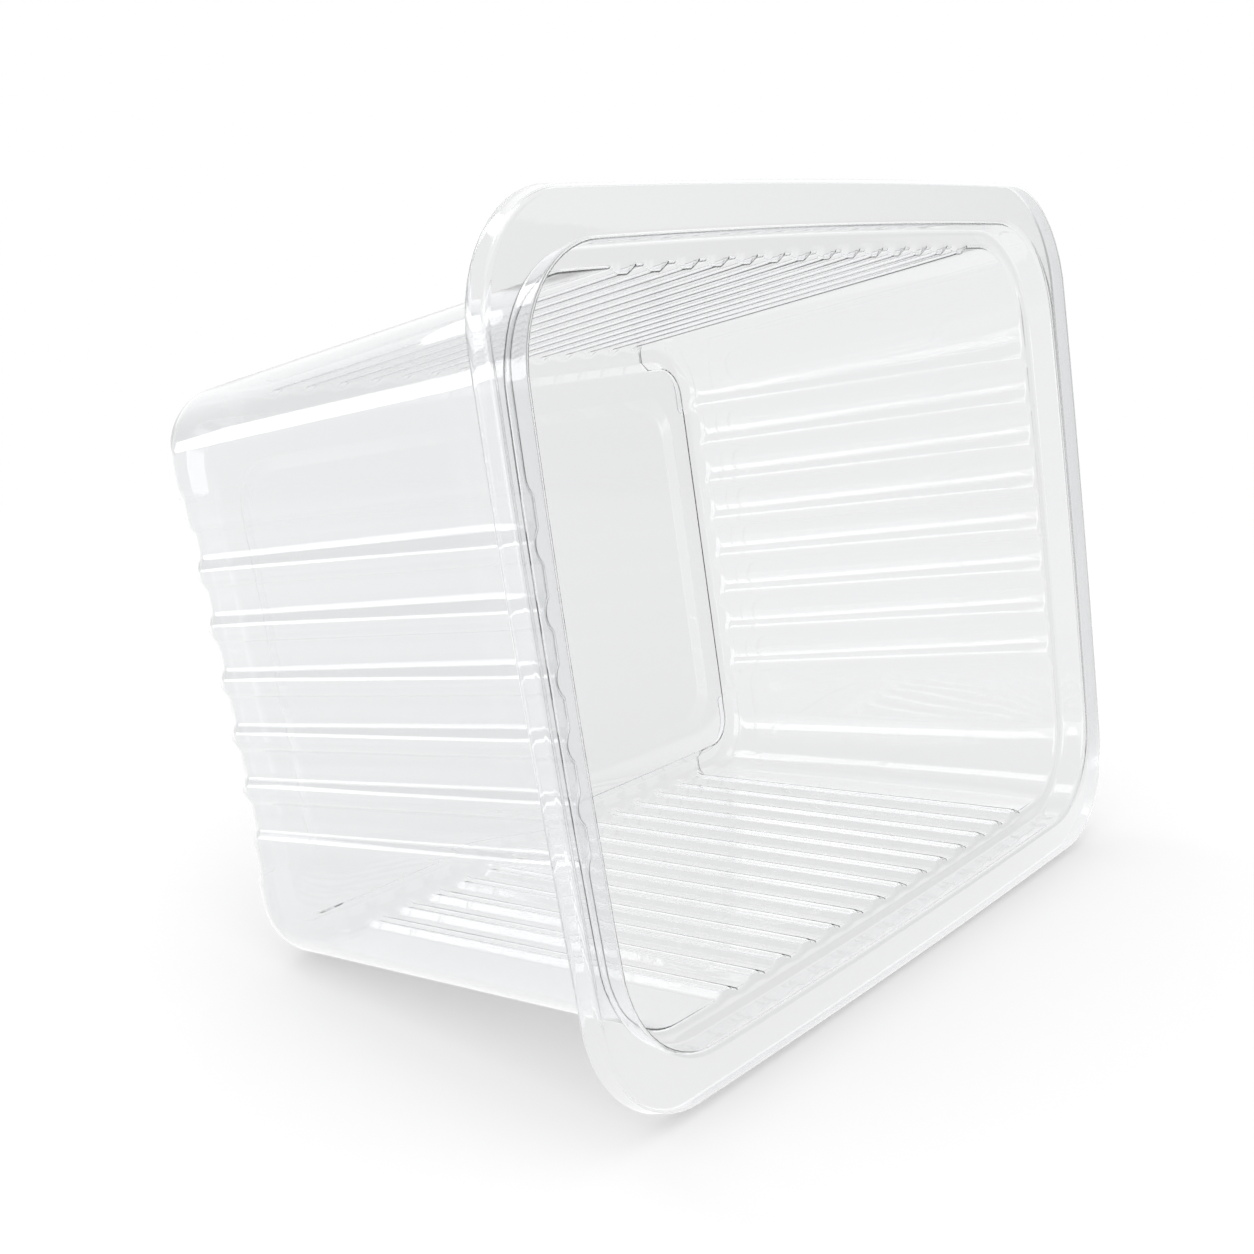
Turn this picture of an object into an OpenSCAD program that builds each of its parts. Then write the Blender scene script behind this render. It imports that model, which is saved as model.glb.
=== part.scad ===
// Heat-sealable thermoformed plastic tray, one clear sheet drawn to a deep box with a flat sealing flange.
// It lies on one long side, mouth to the front, resting on the edge of its skirt and the edge of its base.
// The tray frame, used until the last step, has X along the length, Y along the width and Z out of the mouth.

/* [Sheet] */
// Thickness of the formed sheet
sheet_t = 0.5; // [0.3:0.05:0.9]

/* [Flange] */
// Length over the flange
flange_l = 190; // [180:1:230]
// Width over the flange
flange_w = 144; // [142:1:180]
// Width of the flat that the film is sealed to
flange_band = 7.6; // [6:0.1:9]
// Outer corner radius of the flange
flange_r = 22; // [18:0.5:24]
// How far the middle of each side of the rim bows outward
rim_bow = 0.7; // [0:0.1:1.5]
// Depth of the turned-down skirt
skirt_h = 3.3; // [2:0.1:5]
// How far the skirt flares outward
skirt_flare = 0.4; // [0:0.1:1]
// Radius of the rounded edges of the flange
flange_edge_r = 0.8; // [0.5:0.1:1.2]

/* [Ledge] */
// Depth of the lidding recess from the flange to the ledge
ledge_depth = 5.7; // [4:0.1:9]
// Width of the ledge on the short sides
ledge_short = 2.6; // [2:0.1:4]
// Width of the ledge on the long sides
ledge_long = 3.5; // [2.5:0.1:5]
// Corner radius at the inner edge of the ledge
ledge_r = 16; // [13:0.5:18]

/* [Body] */
// Depth from the flange to the floor of the base groove
body_h = 93.6; // [70:1:120]
// How far each short wall leans in over its height
short_draft = 3.3; // [2:0.1:6]
// How far each long wall leans in over its height
long_draft = 6.4; // [4:0.1:8]
// Corner radius of the walls at the base
base_r = 13; // [11:0.5:14]
// Radius of the rounding between the walls and the base
base_edge_r = 3.2; // [2.5:0.1:4]

/* [Ribs on the short walls] */
// Number of ribs on the right wall
ribs_right = 8; // [3:1:8]
// Distance from rib to rib on the right wall
rib_pitch_right = 9.4; // [8.5:0.1:9.6]
// Shift of the right ribs from the middle of the wall
rib_shift_right = 4; // [-4:0.5:4]
// Width of a right rib at its foot
rib_w_right = 4.6; // [3.5:0.1:6]
// Number of ribs on the left wall
ribs_left = 6; // [3:1:7]
// Distance from rib to rib on the left wall
rib_pitch_left = 10.2; // [8.5:0.1:10.5]
// Shift of the left ribs from the middle of the wall
rib_shift_left = 1.5; // [-2:0.5:2]
// Width of a left rib at its foot
rib_w_left = 6.4; // [4:0.1:7]
// How far a rib stands into the tray
rib_h = 1.5; // [0.6:0.1:1.8]

/* [Corrugation of the long walls] */
// Number of flutes on each long wall
flutes = 14; // [6:1:14]
// Distance from flute to flute
flute_pitch = 8.7; // [7.5:0.1:8.8]
// Shift of the flutes from the middle of the wall
flute_shift = 2.4; // [-4:0.1:4]
// Width of a flute at its foot
flute_w = 6.4; // [5:0.1:7]
// How far a flute stands into the tray
flute_h = 1.1; // [0.5:0.1:1.5]

/* [Base] */
// Width of the groove that runs round the base
groove_w = 7.4; // [7:0.1:10]
// Corner radius of the edge between the groove and the band
band_r = 6.6; // [5:0.1:8]
// Height of the band inside the groove above the groove's floor
band_rise = 1.5; // [0.8:0.1:2.5]
// Width of the band between the groove and the centre panel
band_w = 5.9; // [4:0.1:9]
// How far the centre panel is set down from the band
panel_drop = 1; // [0.5:0.1:1.3]
// Corner radius of the centre panel
panel_r = 9.5; // [6:0.5:11]
// Width of the sloped step round the centre panel
panel_step = 2.6; // [1.5:0.1:4]
// How far the corner feet reach below the groove's floor
foot_h = 1.5; // [0.8:0.1:2.5]
// Where a foot starts along the long side, from the middle
foot_from_long = 61.5; // [50:0.5:64]
// Where a foot starts along the short side, from the middle
foot_from_short = 35; // [28:0.5:37]
// Length of the slope at the end of a foot
foot_end = 2; // [1:0.1:4]

/* [Hidden] */
// Steps in each corner arc and in each rounded edge
corner_steps = 6;
edge_steps = 3;
// Points along the straight part of a smooth side, as shares of its half length
smooth_places = [-0.55, 0, 0.55];
// Share of a side's turn that the key of a station gives to the straight part
straight_share = 0.75;
// Slope of the ledge towards the wall, and of the recess wall towards the mouth
ledge_fall = 0.3;
recess_draft = 0.3;
// Width of the rounded inner edge of the ledge, and the share of the relief that has begun there
ledge_edge = 0.8;
edge_relief = 0.8;
// Width of the slope between the groove's floor and the band
groove_slope = 1.6;
// How much tighter the corners of the centre panel are below its step
panel_turn = 2;
// Angles of the base rounding at which ribs and flutes are still drawn, on their way out
run_out_angles = [0, 30, 60];
// Share of a rib's or flute's width that its flat crown takes: the left ribs have a wide crown
crown = 0.36;
crown_left = 0.64;
// Share of the height that a flank has reached halfway up
flank_share = 0.6;
// Keys nearer than this count as one
key_gap = 0.0001;
clear_tint = [0.93, 0.94, 0.95, 0.5];

half_l = flange_l / 2;
half_w = flange_w / 2;
mouth = flange_band + recess_draft;
wall_short = mouth + ledge_short;
wall_long = mouth + ledge_long;
wall_top = ledge_depth + ledge_fall;
wall_foot = body_h - base_edge_r;
foot_short = wall_short + short_draft;
foot_long = wall_long + long_draft;
recess_r = flange_r - flange_edge_r;

// A ring is [half length, half width, corner radius, depth, bow, share of the relief, share of the feet]
function ring(short, long, r, depth, bow = 0, relief = 0, feet = 0) =
    [half_l - short, half_w - long, r, depth, bow, relief, feet];

function edge_angles(from, to) = [for (i = [0 : edge_steps]) from + (to - from) * i / edge_steps];

// The skirt, the outer rounding, the flat sealing band and the rounding into the recess
function flange_rings() = concat(
    [ring(-skirt_flare, -skirt_flare, flange_r + skirt_flare, skirt_h, rim_bow)],
    [for (a = edge_angles(0, 90))
        let (in = flange_edge_r * (1 - cos(a)))
        ring(in, in, flange_r - in, flange_edge_r * (1 - sin(a)), rim_bow)],
    [for (a = edge_angles(0, 90))
        let (in = flange_band - flange_edge_r * (1 - sin(a)))
        ring(in, in, recess_r, flange_edge_r * (1 - cos(a)), rim_bow)]);

// The recess wall, the ledge and the start of the walls
function ledge_rings() = [
    ring(mouth, mouth, recess_r, ledge_depth - flange_edge_r, rim_bow),
    ring(mouth + flange_edge_r, mouth + flange_edge_r, recess_r - flange_edge_r, ledge_depth, rim_bow),
    ring(wall_short - ledge_edge, wall_long - ledge_edge, ledge_r + ledge_edge, wall_top - ledge_fall / 2,
        rim_bow)];

// How far down the wall a depth lies, from 0 at the ledge to 1 at the base rounding
function wall_share(depth) = (depth - wall_top) / (wall_foot - wall_top);

function wall_ring(depth, relief) =
    let (s = wall_share(depth))
    ring(wall_short + short_draft * s, wall_long + long_draft * s, ledge_r + (base_r - ledge_r) * s,
        depth, rim_bow * (1 - s), relief);

// A ring that lies in from the foot of the walls, and one on the rounding between the walls and the base
function base_ring(in, r, depth, feet = 0, relief = 0) =
    ring(foot_short + in, foot_long + in, r, depth, 0, relief, feet);
function rounding_ring(a) =
    let (in = base_edge_r * (1 - cos(a)))
    base_ring(in, base_r - in, wall_foot + base_edge_r * sin(a), sin(a), cos(a));

// The ribbed stretch: ribs and flutes start at the ledge and run out in the base rounding
function wall_rings() = concat(
    [wall_ring(wall_top, edge_relief), wall_ring(wall_top + ledge_edge, 1)],
    [for (a = run_out_angles) rounding_ring(a)]);

// The groove with its feet, the band and the centre panel
function base_rings() =
    let (band = body_h - band_rise, panel = groove_w + band_w)
    concat(
        [rounding_ring(90),
            base_ring(groove_w - groove_slope, band_r + groove_slope, body_h, 1),
            base_ring(groove_w, band_r, band)],
        [for (i = [0 : edge_steps])
            let (s = i / edge_steps)
            base_ring(panel + panel_step * s, panel_r - panel_turn * s,
                band + panel_drop * (1 - cos(180 * s)) / 2)]);

// A place on a ring: side 0 is +X, 1 is +Y, 2 is -X and 3 is -Y, and out moves it outward
function across(r, side) = side % 2 == 0 ? r[0] : r[1];
function straight(r, side) = (side % 2 == 0 ? r[1] : r[0]) - r[2];
function turn(p, side) = [p, [-p[1], p[0]], -p, [p[1], -p[0]]][side];
function side_point(r, side, c, out) =
    let (bow = r[4] * (1 - pow(c / straight(r, side), 2)))
    turn([across(r, side) + bow + out, c], side);
function corner_point(r, side, a, out) =
    turn([across(r, side) - r[2] + (r[2] + out) * cos(a), straight(r, side) + (r[2] + out) * sin(a)], side);

// Stations of a smooth side: shares of the straight part, with the ends of the feet
function foot_place(side) = side % 2 == 0
    ? foot_from_short / straight(base_ring(0, base_r, 0), 0)
    : foot_from_long / straight(base_ring(0, base_r, 0), 1);
function foot_slope(side) = foot_end / straight(base_ring(0, base_r, 0), side);
function smooth_side(side) =
    let (f = foot_place(side), e = foot_slope(side))
    concat([[-f - e, 1], [-f, 0]], [for (p = smooth_places) [p, 0]], [[f, 0], [f + e, 1]]);
function corner_angles() = [for (i = [0 : corner_steps]) 90 * i / corner_steps];

// Stations of a ribbed side: places in millimetres, each with its share of the relief
function count_on(side) = side == 0 ? ribs_right : side == 2 ? ribs_left : flutes;
function pitch_on(side) = side == 0 ? rib_pitch_right : side == 2 ? rib_pitch_left : flute_pitch;
function shift_on(side) = [rib_shift_right, -flute_shift, -rib_shift_left, flute_shift][side];
function width_on(side) = side == 0 ? rib_w_right : side == 2 ? rib_w_left : flute_w;
function height_on(side) = side % 2 == 0 ? rib_h : flute_h;
// Outline of a rib or flute: places across its width, each with its share of the height
function relief_outline(top) = [
    [-0.5, 0], [-(1 + top) / 4, flank_share], [-top / 2, 1],
    [top / 2, 1], [(1 + top) / 4, flank_share], [0.5, 0]];
function ribbed_side(side) = [
    for (i = [0 : count_on(side) - 1], k = relief_outline(side == 2 ? crown_left : crown))
        [shift_on(side) + (i - (count_on(side) - 1) / 2) * pitch_on(side) + k[0] * width_on(side), k[1]]];

// A skin point: [outline point, outward normal] with its depth, moved along the sheet's normal
function lifted(p, n, depth, normal, off) =
    [p[0] + n[0] * normal[0] * off, p[1] + n[1] * normal[0] * off, -depth + normal[1] * off];
function side_normal(side) = turn([1, 0], side);
function corner_normal(side, a) = turn([cos(a), sin(a)], side);

function smooth_points(r, normal, off) = [
    for (side = [0 : 3]) each concat(
        [for (s = smooth_side(side))
            lifted(side_point(r, side, s[0] * straight(r, side), 0), side_normal(side),
                r[3] + foot_h * s[1] * r[6], normal, off)],
        [for (a = corner_angles())
            lifted(corner_point(r, side, a, 0), corner_normal(side, a), r[3] + foot_h * r[6], normal, off)])];
function foot_share(side, c) =
    min(max((abs(c) - (side % 2 == 0 ? foot_from_short : foot_from_long)) / foot_end, 0), 1);
function ribbed_points(r, normal, off) = [
    for (side = [0 : 3]) each concat(
        [for (s = ribbed_side(side))
            lifted(side_point(r, side, s[0], -s[1] * r[5] * height_on(side)), side_normal(side),
                r[3] + foot_h * foot_share(side, s[0]) * r[6], normal, off)],
        [for (a = corner_angles())
            lifted(corner_point(r, side, a, 0), corner_normal(side, a), r[3] + foot_h * r[6], normal, off)])];

// Keys put the stations of both kinds of ring in one order round the tray
function side_key(side, share) = side + straight_share * (share + 1) / 2;
function corner_key(side, a) = side + straight_share + (1 - straight_share) * a / 90;
corner_keys = [for (side = [0 : 3]) [for (a = corner_angles()) corner_key(side, a)]];
smooth_keys = [
    for (side = [0 : 3]) each concat([for (s = smooth_side(side)) side_key(side, s[0])], corner_keys[side])];
ribbed_keys = [
    for (side = [0 : 3]) each concat(
        [for (s = ribbed_side(side)) side_key(side, s[0] / straight(wall_ring(wall_foot, 1), side))],
        corner_keys[side])];

smooth_n = len(smooth_keys);
ribbed_n = len(ribbed_keys);

// For each ribbed station, the number of smooth stations up to it
function smooth_before(key) = len([for (k = smooth_keys) if (k <= key + key_gap) k]);
before = [for (k = ribbed_keys) max(smooth_before(k) - 1, 0)];

// Faces between two rings that start at points a and b and run the same way round
function band_faces(a, b, n) = [
    for (j = [0 : n - 1]) let (k = (j + 1) % n) each [[a + j, b + j, b + k], [a + j, b + k, a + k]]];
// Faces between a smooth ring at s and a ribbed ring at f
function mixed_faces(s, f) = [
    for (j = [0 : ribbed_n - 1])
        let (k = (j + 1) % ribbed_n, from = before[j], to = k == 0 ? smooth_n + before[0] : before[k])
        each concat(
            [[s + from % smooth_n, f + j, f + k]],
            [for (c = [from : 1 : to - 1]) [s + c % smooth_n, f + k, s + (c + 1) % smooth_n]])];
function flipped(faces) = [for (f = faces) [f[2], f[1], f[0]]];

upper_rings = concat(flange_rings(), ledge_rings());
lower_rings = base_rings();
rings = concat(upper_rings, wall_rings(), lower_rings);
ribbed_from = len(upper_rings);
ribbed_to = ribbed_from + len(wall_rings()) - 1;
function is_ribbed(i) = i >= ribbed_from && i <= ribbed_to;

// The sheet's normal on its inner side in each ring, from the rings beside it: [outward, towards the mouth]
function inset(r) = half_l + half_w - r[0] - r[1];
function sheet_normal(i) =
    let (
        a = rings[max(i - 1, 0)],
        b = rings[min(i + 1, len(rings) - 1)],
        run = (inset(b) - inset(a)) / 2,
        fall = b[3] - a[3],
        size = norm([run, fall]))
    [-fall / size, run / size];

// The first point of each ring in a skin
function ring_n(i) = is_ribbed(i) ? ribbed_n : smooth_n;
function first_point(i) = i == 0 ? 0 : first_point(i - 1) + ring_n(i - 1);
function skin_points(off) = [
    for (i = [0 : len(rings) - 1]) each
        is_ribbed(i)
            ? ribbed_points(rings[i], sheet_normal(i), off)
            : smooth_points(rings[i], sheet_normal(i), off)];
function skin_faces(start) = [
    for (i = [0 : len(rings) - 2])
        let (a = start + first_point(i), b = start + first_point(i + 1))
        each is_ribbed(i) == is_ribbed(i + 1)
            ? band_faces(a, b, ring_n(i))
            : is_ribbed(i + 1) ? mixed_faces(a, b) : flipped(mixed_faces(b, a))];

last = len(rings) - 1;
skin_n = first_point(last) + smooth_n;
outer_skin = skin_points(-sheet_t / 2);
inner_skin = skin_points(sheet_t / 2);
panel_centre = [0, 0, -rings[last][3]];
sheet_points = concat(outer_skin, inner_skin,
    [panel_centre - [0, 0, sheet_t / 2], panel_centre + [0, 0, sheet_t / 2]]);

function fan_faces(start, centre) =
    [for (j = [0 : smooth_n - 1]) [start + j, centre, start + (j + 1) % smooth_n]];
outer_faces = concat(skin_faces(0), fan_faces(first_point(last), 2 * skin_n));
inner_faces = concat(skin_faces(skin_n), fan_faces(skin_n + first_point(last), 2 * skin_n + 1));
sheet_faces = concat(flipped(outer_faces), inner_faces, band_faces(0, skin_n, smooth_n));

// The lying pose: the greatest turn about X at which no point passes below the edge of the skirt
skirt = sheet_points[search(min([for (p = sheet_points) p[1]]), [for (p = sheet_points) p[1]])[0]];
below = [for (p = sheet_points) if (p[2] < -wall_foot / 2) p];
lie_angle = min([for (p = below) atan((p[1] - skirt[1]) / (skirt[2] - p[2]))]);
function lying(p) =
    [p[0], p[1] * sin(lie_angle) - p[2] * cos(lie_angle), p[1] * cos(lie_angle) + p[2] * sin(lie_angle)];
lying_points = [for (p = sheet_points) lying(p)];
function middle(v) = (min(v) + max(v)) / 2;
place = [0, -middle([for (p = lying_points) p[1]]), -min([for (p = lying_points) p[2]])];

module tray() {
    color(clear_tint)
        polyhedron(points = [for (p = lying_points) p + place], faces = sheet_faces, convexity = 12);
}

tray();
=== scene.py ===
"""The looks of a clear heat-sealable tray, lying on one long side on a white floor.

The tray is one thin sheet. Its middle surface is swept round the tray ring by ring and then given its
thickness along the surface's own normals. The outline and the main sizes are those of the part's source.
The ribs of the side +X are lower here, and ribs, flutes and the folds of the base have profiles of their
own. Sizes are in millimetres until the mesh is made.
"""
import math

import bpy
import numpy as np
from mathutils import Matrix, Vector


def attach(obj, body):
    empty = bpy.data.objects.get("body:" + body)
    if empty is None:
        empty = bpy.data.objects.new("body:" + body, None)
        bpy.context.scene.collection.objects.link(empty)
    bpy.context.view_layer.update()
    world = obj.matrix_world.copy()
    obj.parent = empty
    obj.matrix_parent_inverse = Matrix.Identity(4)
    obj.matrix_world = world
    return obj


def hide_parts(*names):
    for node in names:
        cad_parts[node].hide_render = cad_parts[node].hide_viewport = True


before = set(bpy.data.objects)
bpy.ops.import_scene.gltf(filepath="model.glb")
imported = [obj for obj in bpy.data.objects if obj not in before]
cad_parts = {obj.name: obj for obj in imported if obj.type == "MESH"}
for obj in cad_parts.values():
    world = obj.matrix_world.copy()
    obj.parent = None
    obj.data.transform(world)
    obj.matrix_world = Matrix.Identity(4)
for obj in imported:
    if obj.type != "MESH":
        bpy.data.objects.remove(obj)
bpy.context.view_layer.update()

MM = 0.001

# Sheet and flange
SHEET_T = 0.5
HALF_L = 95.0
HALF_W = 72.0
FLANGE_BAND = 7.6
FLANGE_R = 22.0
RIM_BOW = 0.7
SKIRT_H = 3.3
SKIRT_FLARE = 0.4
FLARE_POWER = 1.5
FLANGE_EDGE_R = 0.8

# Ledge; its corner radius shrinks faster than the ring moves in, by the factor LEDGE_SHRINK
LEDGE_DEPTH = 5.7
LEDGE_SHORT = 2.6
LEDGE_LONG = 3.5
LEDGE_R = 16.0
LEDGE_EDGE = 0.8
LEDGE_FALL = 0.3
LEDGE_SHRINK = 1.25
RECESS_DRAFT = 0.3

# Walls
BODY_H = 93.6
SHORT_DRAFT = 3.3
LONG_DRAFT = 6.4
BASE_R = 13.0
BASE_EDGE_R = 3.2

# Ribs and flutes of the sides +X, +Y, -X and -Y: number, pitch, shift from the middle, width at the foot,
# height, width of the flat crown and kind of profile
RIB_H = 1.5
LOW_RIB_H = 0.8
FLUTE_W = 6.4
FLUTE_CROWN = 2.3
FLUTE_H = 1.1
FLUTES = 14
FLUTE_PITCH = 8.7
FLUTE_SHIFT = 2.4
KNOB_W = 5.5
BAND_PITCH = 10.2
RELIEF = [
    (8, 9.4, 4.0, 4.6, LOW_RIB_H, 0.0, "round"),
    (FLUTES, FLUTE_PITCH, -FLUTE_SHIFT, FLUTE_W, FLUTE_H, FLUTE_CROWN, "folded"),
    (6, BAND_PITCH, -1.5, BAND_PITCH, RIB_H, BAND_PITCH - KNOB_W, "between knobs"),
    (FLUTES, FLUTE_PITCH, FLUTE_SHIFT, FLUTE_W, FLUTE_H, FLUTE_CROWN, "folded"),
]

# Room beyond the ribbed stretch on the reference ring, and the least room there with which it keeps its size
RIBS_TO_CORNER = 1.5
CORNER_ROOM = 0.3

# Base; FOOT_FROM says how far from the middle of the short and of the long sides the feet start
GROOVE_W = 7.4
GROOVE_SLOPE = 2.0
BAND_RISE = 1.5
BAND_W = 5.9
BAND_R_MORE = 1.0
PANEL_DROP = 1.0
PANEL_R = 9.5
PANEL_STEP = 2.8
FOOT_H = 1.5
FOOT_FROM = (35.0, 61.5)
FOOT_END = 2.0

MOUTH = FLANGE_BAND + RECESS_DRAFT
WALL_SHORT = MOUTH + LEDGE_SHORT
WALL_LONG = MOUTH + LEDGE_LONG
WALL_TOP = LEDGE_DEPTH + LEDGE_FALL
WALL_FOOT = BODY_H - BASE_EDGE_R
FOOT_SHORT = WALL_SHORT + SHORT_DRAFT
FOOT_LONG = WALL_LONG + LONG_DRAFT
RECESS_R = FLANGE_R - FLANGE_EDGE_R
BAND_R = BASE_R - GROOVE_W + BAND_R_MORE

# Half the width over which a fold turns
FOLD = 0.25

# Mesh: steps of quarter turns and slopes
CORNER_STEPS = 14
SKIRT_STEPS = 3
FLANGE_EDGE_STEPS = 6
LEDGE_EDGE_STEPS = 5
WALL_EDGE_STEPS = 4
WALL_STEPS = 8
BASE_EDGE_STEPS = 12
BASE_FOLD_STEPS = 4
RIB_FOLD_STEPS = 2

# Mesh: rings between two others, and rings of the centre panel, as shares of the way
THIRDS = (0.33, 0.67)
ON_LEDGE = (0.35, 0.7)
ON_PANEL = (0.75, 0.5, 0.25, 0.08)
GROOVE_FLOOR_IN = 1.0

# Mesh: places along a side, in number or in millimetres
FLANK_PLACES = 5
FOOT_PLACES = 5
PLACE_DIGITS = 3
PLAIN_STEP = 6.0
END_MARGIN = 0.5
LEAST_GAP = 0.4

# Plastic: tints as linear colours, and roughness from its smoother to its duller patches
PLASTIC_TINT = (0.97, 0.975, 0.98, 1)
SHADOW_TINT = (0.84, 0.84, 0.84, 1)
PLASTIC_IOR = 1.5
ROUGHNESS = (0.02, 0.04)
PATCH_SCALE = 45.0
PATCH_DETAIL = 2.0
PATCH_EDGE = (0.3, 0.7)

# Floor, in metres; it fades to plain white between the two distances from the middle
FLOOR_HALF = 3.0
FLOOR_FADE = (0.25, 0.5)
FLOOR_ALBEDO = 0.9

# Light on the floor from the camera's side and from behind the tray, where 1 shows as white
DOME = (1.35, 0.7)

# Level directions from the camera past the tray, and to its right
BACKWARD = (0.798, 0.602, 0.0)
RIGHTWARD = (0.602, -0.798, 0.0)

# Surroundings as the plastic sees them, by the angle in degrees from straight back, negative to the left:
# white behind the tray, a wide window at the left behind the camera, a strip at the right, a room elsewhere
ROOM = 0.6
SEEN_THROUGH = 0.93
WINDOW = 2.5
SIDE = 1.6
AROUND_LOW = [
    (-180, ROOM), (-172, WINDOW), (-135, WINDOW), (-125, 1.3), (-85, 1.3), (-72, 0.7), (-32, 0.7),
    (-24, SEEN_THROUGH), (24, SEEN_THROUGH), (30, 0.5), (60, 0.4), (91, 0.32), (95, SIDE), (106, SIDE),
    (110, ROOM), (180, ROOM),
]
AROUND_HIGH = [
    (-180, ROOM), (-172, WINDOW), (-135, WINDOW), (-125, ROOM), (-70, ROOM), (-45, 1.1), (45, 1.1),
    (55, 0.4), (100, 0.4), (115, ROOM), (180, ROOM),
]

# Levels at which the floor glows for the rays that the plastic reflects or lets through, by the angle seen
# from the camera's foot: painted surroundings, dimmer behind the tray than the camera sees it, a painted
# bright strip at the right that shows as painted highlights, and darker stretches that show as painted dark
# reflections
ON_FLOOR = [
    (-180, ROOM), (-90, 1.0), (-30, 1.0), (-24, 0.88), (24, 0.88), (32, 0.4), (91, 0.35), (95, SIDE),
    (106, SIDE), (110, ROOM), (180, ROOM),
]
# Painted highlight: factor by which the floor glows brighter in what the plastic reflects
FLOOR_GLOW_IN_REFLECTIONS = 1.45

# Heights of a direction, from 0 level to 1 straight up, over which the surroundings change
LOW_TO_HIGH = (0.1, 0.2)
HIGH_TO_ROOM = (0.6, 0.8)

# Share of its shadow that the floor loses where the plastic sees it
SHADOW_LOST = 0.8

# Lamps, turned to the target: name, place and size in metres, and power in watts
LAMP_TARGET = (0.0, 0.0, 0.07)
LAMPS = [
    ("top_softbox", (0.0, 0.0, 1.3), (0.6, 0.6), 1.2),
    ("back_softbox", (0.05, 0.9, 1.15), (0.4, 1.0), 2.6),
    ("side_strip", (-1.0, 0.82, 0.28), (1.2, 0.25), 2.2),
]

# Camera: place in metres, sensor and lens in millimetres, angles in degrees
CAMERA_AT = (-0.27559, -0.19549, 0.14617)
CAMERA_SENSOR = 36.0
CAMERA_LENS = 48.606
CAMERA_SHIFT = 0.1778
CAMERA_YAW = 52.988
CAMERA_PITCH = -22.204
CAMERA_ROLL = 1.157

# Light paths, long enough for the sheet's own edges not to turn black
CLEAR_BOUNCES = 24
GLOSSY_BOUNCES = 16


def smooth(x):
    """A smooth step from 0 to 1 as x goes from 0 to 1."""
    x = np.clip(x, 0.0, 1.0)
    return x * x * (3 - 2 * x)


def folded(x, width):
    """A straight slope from 0 to 1 over a width, with a small rounded fold at each end."""
    def ease(t):
        t = np.maximum(t, -FOLD)
        return np.where(t > FOLD, t, (t + FOLD) ** 2 / (4 * FOLD))
    return (ease(x) - ease(x - width)) / width


def fold_places(width, steps):
    """Places at the two folds of a slope, each fold in even steps."""
    fold = np.linspace(-FOLD, FOLD, steps + 1)
    return np.concatenate([fold, width + fold])


def quarter(steps):
    """Angles of a quarter turn in radians, in even steps."""
    return np.radians(np.linspace(0, 90, steps + 1))


def ring(short, long, r, depth, bow=0.0, relief=0.0, feet=0.0):
    """A ring, inset from the short and the long sides of the flange: its half sizes and what shapes it."""
    return (HALF_L - short, HALF_W - long, r, depth, bow, relief, feet)


def same(inset, r, depth):
    """A ring at one inset on all sides, with the bow of the rim."""
    return ring(inset, inset, r, depth, RIM_BOW)


def flange_rings():
    out = []
    for s in np.linspace(0, 1, SKIRT_STEPS + 1)[:-1]:
        flare = SKIRT_FLARE * (1 - s) ** FLARE_POWER
        out.append(same(-flare, FLANGE_R + flare, SKIRT_H + (FLANGE_EDGE_R - SKIRT_H) * s))
    for a in quarter(FLANGE_EDGE_STEPS):
        inset = FLANGE_EDGE_R * (1 - math.cos(a))
        out.append(same(inset, FLANGE_R - inset, FLANGE_EDGE_R * (1 - math.sin(a))))
    for s in THIRDS:
        out.append(same(FLANGE_EDGE_R + (FLANGE_BAND - 2 * FLANGE_EDGE_R) * s, RECESS_R, 0))
    for a in quarter(FLANGE_EDGE_STEPS):
        inset = FLANGE_BAND - FLANGE_EDGE_R * (1 - math.sin(a))
        out.append(same(inset, RECESS_R, FLANGE_EDGE_R * (1 - math.cos(a))))
    return out


def ledge_rings():
    out = []
    low = LEDGE_DEPTH - FLANGE_EDGE_R
    for s in THIRDS:
        depth = FLANGE_EDGE_R + (low - FLANGE_EDGE_R) * s
        out.append(same(FLANGE_BAND + RECESS_DRAFT * s, RECESS_R, depth))
    for a in quarter(LEDGE_EDGE_STEPS):
        inset = MOUTH + FLANGE_EDGE_R * (1 - math.cos(a))
        r = RECESS_R - LEDGE_SHRINK * (inset - MOUTH)
        out.append(same(inset, r, low + FLANGE_EDGE_R * math.sin(a)))
    first = out[-1]
    depth = WALL_TOP - LEDGE_FALL / 2
    edge = ring(WALL_SHORT - LEDGE_EDGE, WALL_LONG - LEDGE_EDGE, LEDGE_R + LEDGE_EDGE, depth, RIM_BOW)
    for s in ON_LEDGE:
        out.append(tuple(a + (b - a) * s for a, b in zip(first, edge)))
    out.append(edge)
    return out


def wall_ring(depth, relief):
    s = (depth - WALL_TOP) / (WALL_FOOT - WALL_TOP)
    short = WALL_SHORT + SHORT_DRAFT * s
    long = WALL_LONG + LONG_DRAFT * s
    return ring(short, long, LEDGE_R + (BASE_R - LEDGE_R) * s, depth, RIM_BOW * (1 - s), relief)


def wall_rings():
    out = []
    top = wall_ring(WALL_TOP, 0.0)
    for a in quarter(WALL_EDGE_STEPS)[1:]:
        back = LEDGE_EDGE * (1 - math.sin(a))
        down = LEDGE_EDGE * (1 - math.cos(a))
        sizes = (top[0] + back, top[1] + back, top[2] + back)
        out.append(sizes + (WALL_TOP - LEDGE_FALL / 2 + down, RIM_BOW, math.sin(a), 0.0))
    start = WALL_TOP + LEDGE_EDGE
    for s in np.linspace(0, 1, WALL_STEPS + 1)[1:]:
        out.append(wall_ring(start + (WALL_FOOT - start) * s, 1.0))
    return out


def base_ring(inset, r, depth, feet, relief=0.0):
    return ring(FOOT_SHORT + inset, FOOT_LONG + inset, r, depth, 0.0, relief, feet)


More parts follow.
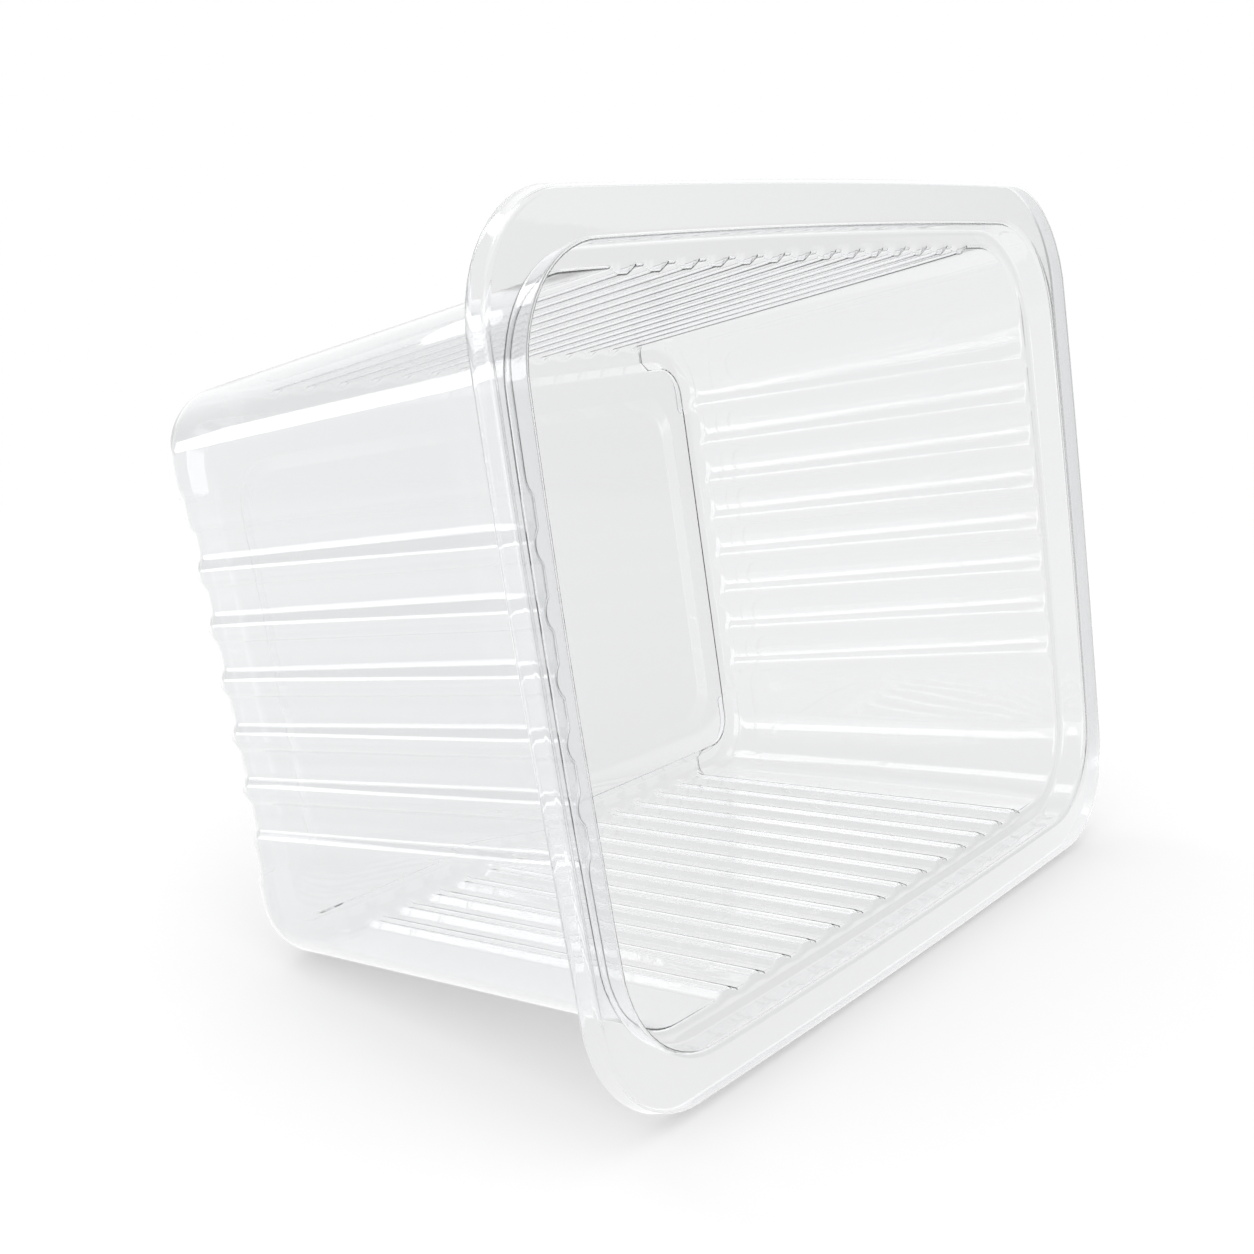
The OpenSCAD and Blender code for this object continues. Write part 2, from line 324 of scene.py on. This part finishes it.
def base_rings():
    out = []
    band = BODY_H - BAND_RISE
    panel = GROOVE_W + BAND_W
    for a in quarter(BASE_EDGE_STEPS)[1:]:
        inset = BASE_EDGE_R * (1 - math.cos(a))
        depth = WALL_FOOT + BASE_EDGE_R * math.sin(a)
        out.append(base_ring(inset, BASE_R - inset, depth, math.sin(a), math.cos(a)))
    floor = GROOVE_W - GROOVE_SLOPE
    low_r = BASE_R - BASE_EDGE_R
    slope = floor + fold_places(GROOVE_SLOPE, BASE_FOLD_STEPS)
    for inset in np.concatenate([[BASE_EDGE_R + GROOVE_FLOOR_IN], slope]):
        s = (inset - BASE_EDGE_R) / (GROOVE_W - BASE_EDGE_R)
        up = folded(inset - floor, GROOVE_SLOPE)
        out.append(base_ring(inset, low_r + (BAND_R - low_r) * s, BODY_H - BAND_RISE * up, 1 - up))
    out.append(base_ring(GROOVE_W + BAND_W / 2, (BAND_R + PANEL_R) / 2, band, 0.0))
    for x in fold_places(PANEL_STEP, BASE_FOLD_STEPS):
        depth = band + PANEL_DROP * folded(x, PANEL_STEP)
        out.append(base_ring(panel + x, PANEL_R - x / 2, depth, 0.0))
    return out


def straight(r, side):
    """Half the straight stretch that a ring has on a side."""
    return (r[1] if side % 2 == 0 else r[0]) - r[2]


def across(r, side):
    """How far a side of a ring is from the middle."""
    return r[0] if side % 2 == 0 else r[1]


REFERENCE = base_ring(0.0, BASE_R, WALL_FOOT, 0.0)


def rib_middles(side):
    count, pitch, shift = RELIEF[side][:3]
    return [shift + (i - (count - 1) / 2) * pitch for i in range(count)]


def rib_profile(x, width, crown, kind):
    """Share of its height that a rib has across its width."""
    inside = width / 2 - np.abs(x)
    if kind == "round":
        return np.sin(math.pi * np.clip(inside / width, 0.0, 0.5))
    if kind == "folded":
        return folded(inside, (width - crown) / 2)
    return 1 - np.cos(math.pi * np.clip(inside / (width - crown), 0.0, 0.5))


def flank_places(width, crown, kind):
    """Places on one flank of a rib, measured from its middle."""
    flank = (width - crown) / 2
    if kind == "folded":
        return width / 2 - fold_places(flank, RIB_FOLD_STEPS)
    return crown / 2 + flank * np.linspace(0, 1, FLANK_PLACES)


def side_places(side):
    """Places along a side of the reference ring, dense on the ribs and at the ends of the feet."""
    width, _, crown, kind = RELIEF[side][3:]
    half = straight(REFERENCE, side)
    flank = flank_places(width, crown, kind)
    places = []
    for middle in rib_middles(side):
        places.extend(middle + np.concatenate([-flank, flank]))
    foot = FOOT_FROM[side % 2]
    ends = np.linspace(foot - END_MARGIN, foot + FOOT_END + END_MARGIN, FOOT_PLACES)
    ends = np.concatenate([ends, -ends])
    free = [c for c in ends if np.min(np.abs(np.array(places) - c)) > LEAST_GAP]
    places = np.unique(np.round(places + free, PLACE_DIGITS))
    gaps = np.concatenate([[-half], places, [half]])
    more = []
    for a, b in zip(gaps[:-1], gaps[1:]):
        n = int((b - a) / PLAIN_STEP)
        more.extend(np.linspace(a, b, n + 2)[1:-1])
    places = np.sort(np.concatenate([places, more]))
    return places[(places > -half + END_MARGIN) & (places < half - END_MARGIN)]


def relief_at(side, places):
    """How far the relief stands inward at places along a side."""
    width, height, crown, kind = RELIEF[side][3:]
    out = np.zeros_like(places)
    for middle in rib_middles(side):
        out = np.maximum(out, rib_profile(places - middle, width, crown, kind) * height)
    return out


def feet_at(side, places):
    """Share of their height that the feet have at places along a side."""
    return smooth((np.abs(places) - FOOT_FROM[side % 2]) / FOOT_END)


SIDE_PLACES = [side_places(side) for side in range(4)]
SIDE_RELIEF = [relief_at(side, SIDE_PLACES[side]) for side in range(4)]
SIDE_FEET = [feet_at(side, SIDE_PLACES[side]) for side in range(4)]


def turned(x, y, side):
    """Points at x and y, turned by a number of quarter turns."""
    return np.stack([(x, y), (-y, x), (-x, -y), (y, -x)][side], 1)


def place_on(r, side, places):
    """Places of the reference ring carried to a ring. The ribbed stretch keeps its size where it fits."""
    half = straight(r, side)
    reference = straight(REFERENCE, side)
    field = reference - RIBS_TO_CORNER
    if half <= field + CORNER_ROOM:
        return places * half / reference
    beyond = field + (np.abs(places) - field) * (half - field) / (reference - field)
    return np.where(np.abs(places) <= field, places, np.sign(places) * beyond)


def ring_points(r):
    """Points round a ring: each side and the corner after it."""
    radius, depth, bow, relief, feet = r[2:]
    angles = quarter(CORNER_STEPS)
    out = []
    for side in range(4):
        half = straight(r, side)
        away = across(r, side)
        c = place_on(r, side, SIDE_PLACES[side])
        height = away + bow * (1 - (c / half) ** 2) - relief * SIDE_RELIEF[side]
        down = -(depth + FOOT_H * feet * SIDE_FEET[side])
        out.append(np.column_stack([turned(height, c, side), down]))
        x = away - radius + radius * np.cos(angles)
        y = half + radius * np.sin(angles)
        down = np.full(len(angles), -(depth + FOOT_H * feet))
        out.append(np.column_stack([turned(x, y, side), down]))
    return np.vstack(out)


def middle_surface():
    rings = flange_rings() + ledge_rings() + wall_rings() + base_rings()
    grid = [ring_points(r) for r in rings]
    inner = grid[-1]
    for s in ON_PANEL:
        grid.append(np.column_stack([inner[:, :2] * s, inner[:, 2]]))
    return np.array(grid)


def grid_normals(grid):
    """Unit normals of the middle surface, towards the mouth and the inside of the tray."""
    round_the_ring = np.roll(grid, -1, 1) - np.roll(grid, 1, 1)
    down_the_sheet = np.empty_like(grid)
    down_the_sheet[1:-1] = grid[2:] - grid[:-2]
    down_the_sheet[0] = grid[1] - grid[0]
    down_the_sheet[-1] = grid[-1] - grid[-2]
    n = np.cross(down_the_sheet, round_the_ring)
    return n / np.maximum(np.linalg.norm(n, axis=2, keepdims=True), 1e-9)


def lie_down(points):
    """From the tray's own frame to the lying pose, on the floor and centred as in the part's source."""
    skirt = points[np.argmin(points[:, 1])]
    below = points[points[:, 2] < -WALL_FOOT / 2]
    angle = np.min(np.arctan2(below[:, 1] - skirt[1], skirt[2] - below[:, 2]))
    s, c = math.sin(angle), math.cos(angle)
    x, y, z = points.T
    laid = np.stack([x, y * s - z * c, y * c + z * s], 1)
    laid[:, 1] -= (laid[:, 1].min() + laid[:, 1].max()) / 2
    laid[:, 2] -= laid[:, 2].min()
    return laid


def sheet_points(grid):
    """Points of the inner and the outer side, of the rim's tip and of the two middles of the base."""
    offset = grid_normals(grid) * (SHEET_T / 2)
    inner = grid + offset
    outer = grid - offset
    up = grid[1] - grid[0]
    tip = grid[0] - up / np.linalg.norm(up, axis=1, keepdims=True) * (SHEET_T / 2)
    middles = [inner[-1].mean(0), outer[-1].mean(0)]
    return np.vstack([inner.reshape(-1, 3), outer.reshape(-1, 3), tip, middles])


def sheet_faces(rows, n):
    """Faces on those points, for a grid of a number of rows with n points each."""
    j = np.arange(n)
    k = (j + 1) % n
    outer_from = rows * n
    tip_from = 2 * outer_from
    middle_in = tip_from + n
    middle_out = middle_in + 1
    quads = []
    for a in range(0, (rows - 1) * n, n):
        b = a + n
        c, d = outer_from + a, outer_from + b
        quads.append(np.stack([a + j, b + j, b + k, a + k], 1))
        quads.append(np.stack([c + j, c + k, d + k, d + j], 1))
    quads.append(np.stack([j, k, tip_from + k, tip_from + j], 1))
    quads.append(np.stack([tip_from + j, tip_from + k, outer_from + k, outer_from + j], 1))
    last_in = outer_from - n
    last_out = tip_from - n
    fan_in = np.stack([last_in + k, last_in + j, np.full(n, middle_in)], 1)
    fan_out = np.stack([last_out + j, last_out + k, np.full(n, middle_out)], 1)
    return np.vstack(quads).tolist() + fan_in.tolist() + fan_out.tolist()


def new_object(name, data):
    """An object in the scene."""
    thing = bpy.data.objects.new(name, data)
    bpy.context.scene.collection.objects.link(thing)
    return thing


def make_tray():
    grid = middle_surface()
    points = lie_down(sheet_points(grid)) * MM
    mesh = bpy.data.meshes.new("tray_sheet")
    mesh.from_pydata(points.tolist(), [], sheet_faces(*grid.shape[:2]))
    mesh.validate()
    mesh.shade_smooth()
    return new_object("tray_sheet", mesh)


def feed(tree, socket, value):
    """Gives a socket a plain number or links another socket to it."""
    if isinstance(value, (int, float)):
        socket.default_value = value
    else:
        tree.links.new(value, socket)


def node_math(tree, operation, *values):
    """A math node on sockets or plain numbers; returns its output socket."""
    node = tree.nodes.new("ShaderNodeMath")
    node.operation = operation
    for socket, value in zip(node.inputs, values):
        feed(tree, socket, value)
    return node.outputs["Value"]


def vector_math(tree, operation, vector, other=None):
    """A vector math node on a socket and a plain vector; returns the node."""
    node = tree.nodes.new("ShaderNodeVectorMath")
    node.operation = operation
    tree.links.new(vector, node.inputs[0])
    if other is not None:
        node.inputs[1].default_value = other
    return node


def along(tree, vector, direction):
    """How far a vector reaches in a direction."""
    return vector_math(tree, "DOT_PRODUCT", vector, direction).outputs["Value"]


def ramp(tree, value, span, levels):
    """Maps a value smoothly from one range to another; returns the output socket."""
    node = tree.nodes.new("ShaderNodeMapRange")
    node.interpolation_type = "SMOOTHSTEP"
    node.inputs["From Min"].default_value, node.inputs["From Max"].default_value = span
    node.inputs["To Min"].default_value, node.inputs["To Max"].default_value = levels
    tree.links.new(value, node.inputs["Value"])
    return node.outputs["Result"]


def blend(tree, share, low, high):
    """Mixes two level sockets or numbers; returns the output socket."""
    node = tree.nodes.new("ShaderNodeMix")
    node.clamp_factor = True
    for name, value in (("Factor", share), ("A", low), ("B", high)):
        feed(tree, node.inputs[name], value)
    return node.outputs["Result"]


def around(tree, vector, stops):
    """Level of the surroundings in the direction of a vector; returns the output socket."""
    angle = node_math(tree, "ARCTAN2", along(tree, vector, RIGHTWARD), along(tree, vector, BACKWARD))
    share = node_math(tree, "MULTIPLY_ADD", angle, 1 / math.tau, 0.5)
    node = tree.nodes.new("ShaderNodeValToRGB")
    while len(node.color_ramp.elements) < len(stops):
        node.color_ramp.elements.new(0.5)
    for element, (degrees, level) in zip(node.color_ramp.elements, stops):
        element.position = degrees / 360 + 0.5
        element.color = (level, level, level, 1)
    tree.links.new(share, node.inputs["Fac"])
    return node.outputs["Color"]


def seen_by_plastic(tree, path):
    """1 for the rays that the plastic reflects or lets through, 0 for others."""
    return node_math(tree, "MAXIMUM", path.outputs["Is Glossy Ray"], path.outputs["Is Transmission Ray"])


def mix_shaders(tree, share, first, second):
    node = tree.nodes.new("ShaderNodeMixShader")
    for socket, value in zip(node.inputs, (share, first, second)):
        tree.links.new(value, socket)
    return node.outputs["Shader"]


def clear_plastic():
    """Clear glossy sheet, a little duller in patches, that lets light through to the floor."""
    material = bpy.data.materials.new("clear_plastic")
    material.use_nodes = True
    tree = material.node_tree
    nodes, links = tree.nodes, tree.links
    shader = nodes["Principled BSDF"]
    shader.inputs["Base Color"].default_value = PLASTIC_TINT
    shader.inputs["Transmission Weight"].default_value = 1.0
    shader.inputs["IOR"].default_value = PLASTIC_IOR
    place = nodes.new("ShaderNodeTexCoord")
    patches = nodes.new("ShaderNodeTexNoise")
    patches.inputs["Scale"].default_value = PATCH_SCALE
    patches.inputs["Detail"].default_value = PATCH_DETAIL
    links.new(place.outputs["Object"], patches.inputs["Vector"])
    links.new(ramp(tree, patches.outputs["Fac"], PATCH_EDGE, ROUGHNESS), shader.inputs["Roughness"])
    lets_through = nodes.new("ShaderNodeBsdfTransparent")
    lets_through.inputs["Color"].default_value = SHADOW_TINT
    path = nodes.new("ShaderNodeLightPath")
    surface = shader.outputs["BSDF"]
    for kind in ("Is Shadow Ray", "Is Diffuse Ray"):
        surface = mix_shaders(tree, path.outputs[kind], surface, lets_through.outputs["BSDF"])
    links.new(surface, nodes["Material Output"].inputs["Surface"])
    return material


def white_floor():
    """Lit and shadowed near the tray, plain farther off. The plastic sees it mostly as a glow at painted
    levels of its surroundings: painted reflections, a painted bright strip, and a glow made brighter in
    reflections as painted highlights.
    """
    material = bpy.data.materials.new("white_floor")
    material.use_nodes = True
    tree = material.node_tree
    nodes, links = tree.nodes, tree.links
    nodes.remove(nodes["Principled BSDF"])
    lit = nodes.new("ShaderNodeBsdfDiffuse")
    plain = nodes.new("ShaderNodeEmission")
    place = nodes.new("ShaderNodeNewGeometry").outputs["Position"]
    path = nodes.new("ShaderNodeLightPath")
    distance = vector_math(tree, "LENGTH", place).outputs["Value"]
    from_camera = vector_math(tree, "SUBTRACT", place, CAMERA_AT).outputs["Vector"]
    # Painted highlight: the floor's glow is raised for the rays that the plastic reflects
    reflected_glow = ramp(tree, path.outputs["Is Reflection Ray"], (0.0, 1.0), (1.0, FLOOR_GLOW_IN_REFLECTIONS))
    level = node_math(tree, "MULTIPLY", around(tree, from_camera, ON_FLOOR), reflected_glow)
    level = blend(tree, path.outputs["Is Camera Ray"], level, 1.0)
    links.new(level, plain.inputs["Strength"])
    links.new(node_math(tree, "MULTIPLY", level, FLOOR_ALBEDO), lit.inputs["Color"])
    lost = node_math(tree, "MULTIPLY", seen_by_plastic(tree, path), SHADOW_LOST)
    far = node_math(tree, "MAXIMUM", lost, ramp(tree, distance, FLOOR_FADE, (0.0, 1.0)))
    surface = mix_shaders(tree, far, lit.outputs["BSDF"], plain.outputs["Emission"])
    links.new(surface, nodes["Material Output"].inputs["Surface"])
    return material


def make_floor():
    mesh = bpy.data.meshes.new("floor")
    corners = [(FLOOR_HALF * x, FLOOR_HALF * y, 0) for x, y in ((-1, -1), (1, -1), (1, 1), (-1, 1))]
    mesh.from_pydata(corners, [], [(0, 1, 2, 3)])
    mesh.materials.append(white_floor())
    new_object("floor", mesh)


def make_world():
    """White for the camera, the surroundings for what the plastic sees, and a soft dome for other rays."""
    world = bpy.data.worlds.new("studio")
    bpy.context.scene.world = world
    world.use_nodes = True
    tree = world.node_tree
    nodes, links = tree.nodes, tree.links
    background = nodes["Background"]
    background.inputs["Color"].default_value = (1, 1, 1, 1)
    direction = nodes.new("ShaderNodeTexCoord").outputs["Generated"]
    path = nodes.new("ShaderNodeLightPath")
    split = nodes.new("ShaderNodeSeparateXYZ")
    links.new(direction, split.inputs["Vector"])
    up = split.outputs["Z"]
    low = around(tree, direction, AROUND_LOW)
    high = around(tree, direction, AROUND_HIGH)
    level = blend(tree, ramp(tree, up, LOW_TO_HIGH, (0.0, 1.0)), low, high)
    level = blend(tree, ramp(tree, up, HIGH_TO_ROOM, (0.0, 1.0)), level, ROOM)
    dome = ramp(tree, along(tree, direction, BACKWARD), (-1.0, 1.0), DOME)
    level = blend(tree, seen_by_plastic(tree, path), dome, level)
    links.new(blend(tree, path.outputs["Is Camera Ray"], level, 1.0), background.inputs["Strength"])


def make_lights():
    for name, place, size, power in LAMPS:
        light = bpy.data.lights.new(name, "AREA")
        light.shape = "RECTANGLE"
        light.size, light.size_y = size
        light.energy = power
        lamp = new_object(name, light)
        lamp.location = place
        aim = Vector(LAMP_TARGET) - Vector(place)
        lamp.rotation_euler = aim.to_track_quat("-Z", "Y").to_euler()


def make_camera():
    data = bpy.data.cameras.new("camera")
    camera = new_object("camera", data)
    bpy.context.scene.camera = camera
    data.sensor_width = CAMERA_SENSOR
    data.lens = CAMERA_LENS
    data.shift_y = CAMERA_SHIFT
    yaw, pitch, roll = [math.radians(a) for a in (CAMERA_YAW, CAMERA_PITCH, CAMERA_ROLL)]
    forward = Vector((math.sin(yaw) * math.cos(pitch), math.cos(yaw) * math.cos(pitch), math.sin(pitch)))
    level = Vector((forward.y, -forward.x, 0)).normalized()
    lift = level.cross(forward)
    right = level * math.cos(roll) + lift * math.sin(roll)
    up = right.cross(forward)
    axes = Matrix((right, up, -forward)).transposed()
    camera.matrix_world = Matrix.Translation(CAMERA_AT) @ axes.to_4x4()


make_camera()
tray = make_tray()
tray.data.materials.append(clear_plastic())
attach(tray, "root")
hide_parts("tray")
make_floor()
make_world()
make_lights()

scene = bpy.context.scene
scene.view_settings.view_transform = "Standard"
scene.cycles.max_bounces = CLEAR_BOUNCES
scene.cycles.glossy_bounces = GLOSSY_BOUNCES
scene.cycles.transmission_bounces = CLEAR_BOUNCES
